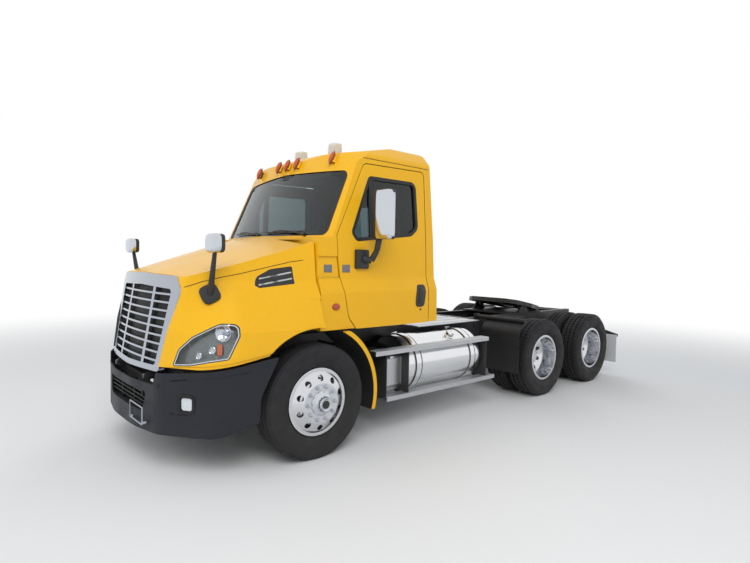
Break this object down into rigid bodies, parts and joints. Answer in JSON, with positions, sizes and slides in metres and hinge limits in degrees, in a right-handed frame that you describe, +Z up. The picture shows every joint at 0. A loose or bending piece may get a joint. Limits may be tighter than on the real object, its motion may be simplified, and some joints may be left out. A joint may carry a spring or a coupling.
{
  "type": "semi truck tractor unit",
  "caption": "Day-cab semi truck tractor with a tilting hood, opening doors, a steered front axle, twin-wheel drive axles and a fifth wheel.",
  "frame": {"origin": "on the ground under the middle of the whole vehicle", "axes": "+Z up, -Y forwards along the vehicle, +X towards the driver's side, which is its left"},
  "size_m": [2.724, 7.025, 2.9929],
  "materials": {
    "body_paint": "gloss",
    "chassis_black": "satin",
    "engine_grey": "satin",
    "tank_polish": "polished",
    "step_alloy": "satin",
    "box_alloy": "polished",
    "coupling_black": "satin",
    "guard_plastic": "matte",
    "flap_rubber": "matte",
    "bumper_plastic": "matte",
    "lamp_glass": "clear",
    "grille_chrome": "polished",
    "mirror_plastic": "satin",
    "mirror_chrome": "polished",
    "interior_plastic": "matte",
    "window_glass": "clear",
    "seat_fabric": "woven",
    "wheel_alloy": "polished",
    "tyre": "matte"
  },
  "bodies": {
    "chassis": {"frame_ladder": "chassis_black", "engine_block": "engine_grey", "front_axle": "chassis_black", "drive_axles": "chassis_black", "drive_suspension": "chassis_black", "fuel_tanks": "tank_polish", "side_steps": "step_alloy", "battery_boxes": "box_alloy", "deck_plate": "step_alloy", "fifth_wheel_base": "coupling_black", "quarter_fenders": "guard_plastic", "mud_flaps": "flap_rubber", "splash_guards": "body_paint", "bumper": "bumper_plastic", "fog_lamps": "lamp_glass", "cab_shell": "body_paint", "cab_roof": "body_paint", "cab_floor": "interior_plastic", "cab_glass": "window_glass", "dashboard": "interior_plastic", "seats": "seat_fabric"},
    "hood": {"hood_shell": "body_paint", "grille": "grille_chrome", "headlights": "lamp_glass", "hood_mirrors": "mirror_plastic"},
    "fifth_wheel_plate": {"fifth_wheel_plate": "coupling_black"},
    "tie_rod": {"tie_rod": "chassis_black"},
    "door_left": {"door_left": "body_paint", "door_glass_left": "window_glass", "door_mirror_left": "mirror_chrome"},
    "knuckle_left": {"knuckle_left": "chassis_black"},
    "front_wheel_left": {"front_wheel_left": "wheel_alloy", "front_tyre_left": "tyre"},
    "drive_wheels_forward_left": {"drive_wheels_forward_left": "wheel_alloy", "drive_tyres_forward_left": "tyre"},
    "drive_wheels_rear_left": {"drive_wheels_rear_left": "wheel_alloy", "drive_tyres_rear_left": "tyre"},
    "door_right": {"door_right": "body_paint", "door_glass_right": "window_glass", "door_mirror_right": "mirror_chrome"},
    "knuckle_right": {"knuckle_right": "chassis_black"},
    "front_wheel_right": {"front_wheel_right": "wheel_alloy", "front_tyre_right": "tyre"},
    "drive_wheels_forward_right": {"drive_wheels_forward_right": "wheel_alloy", "drive_tyres_forward_right": "tyre"},
    "drive_wheels_rear_right": {"drive_wheels_rear_right": "wheel_alloy", "drive_tyres_rear_right": "tyre"}
  },
  "joints": [
    {"name": "hood_hinge", "type": "hinge", "parent": "chassis", "child": "hood", "pos_m": [0, -3.4425, 0.75], "axis": [1, 0, 0], "range_deg": [0, 70]},
    {"name": "fifth_wheel_tilt", "type": "hinge", "parent": "chassis", "child": "fifth_wheel_plate", "pos_m": [0, 2.0825, 1.075], "axis": [1, 0, 0], "range_deg": [0, 25]},
    {"name": "door_hinge_left", "type": "hinge", "parent": "chassis", "child": "door_left", "pos_m": [1.092, -1.9175, 1.9], "axis": [0, 0, -1], "range_deg": [0, 70]},
    {"name": "steering_left", "type": "hinge", "parent": "chassis", "child": "knuckle_left", "pos_m": [0.85, -2.2475, 0.505], "axis": [0, 0, 1], "range_deg": [-40, 40]},
    {"name": "front_roll_left", "type": "hinge", "parent": "knuckle_left", "child": "front_wheel_left", "pos_m": [1.033, -2.2475, 0.505], "axis": [1, 0, 0], "continuous": true},
    {"name": "drive_roll_forward_left", "type": "hinge", "parent": "chassis", "child": "drive_wheels_forward_left", "pos_m": [0.9165, 1.385, 0.505], "axis": [1, 0, 0], "continuous": true},
    {"name": "drive_roll_rear_left", "type": "hinge", "parent": "chassis", "child": "drive_wheels_rear_left", "pos_m": [0.9165, 2.706, 0.505], "axis": [1, 0, 0], "continuous": true},
    {"name": "door_hinge_right", "type": "hinge", "parent": "chassis", "child": "door_right", "pos_m": [-1.092, -1.9175, 1.9], "axis": [0, 0, 1], "range_deg": [0, 70]},
    {"name": "steering_right", "type": "hinge", "parent": "chassis", "child": "knuckle_right", "pos_m": [-0.85, -2.2475, 0.505], "axis": [0, 0, 1], "range_deg": [-40, 40]},
    {"name": "front_roll_right", "type": "hinge", "parent": "knuckle_right", "child": "front_wheel_right", "pos_m": [-1.033, -2.2475, 0.505], "axis": [1, 0, 0], "continuous": true},
    {"name": "drive_roll_forward_right", "type": "hinge", "parent": "chassis", "child": "drive_wheels_forward_right", "pos_m": [-0.9165, 1.385, 0.505], "axis": [1, 0, 0], "continuous": true},
    {"name": "drive_roll_rear_right", "type": "hinge", "parent": "chassis", "child": "drive_wheels_rear_right", "pos_m": [-0.9165, 2.706, 0.505], "axis": [1, 0, 0], "continuous": true},
    {"name": "tie_rod_pivot", "type": "hinge", "parent": "knuckle_left", "child": "tie_rod", "pos_m": [0.85, -2.0575, 0.4], "axis": [0, 0, 1], "range_deg": [-40, 40]}
  ],
  "couplings": [
    {"joint": "steering_right", "follows": "steering_left", "ratio": 1},
    {"joint": "tie_rod_pivot", "follows": "steering_left", "ratio": -1}
  ]
}
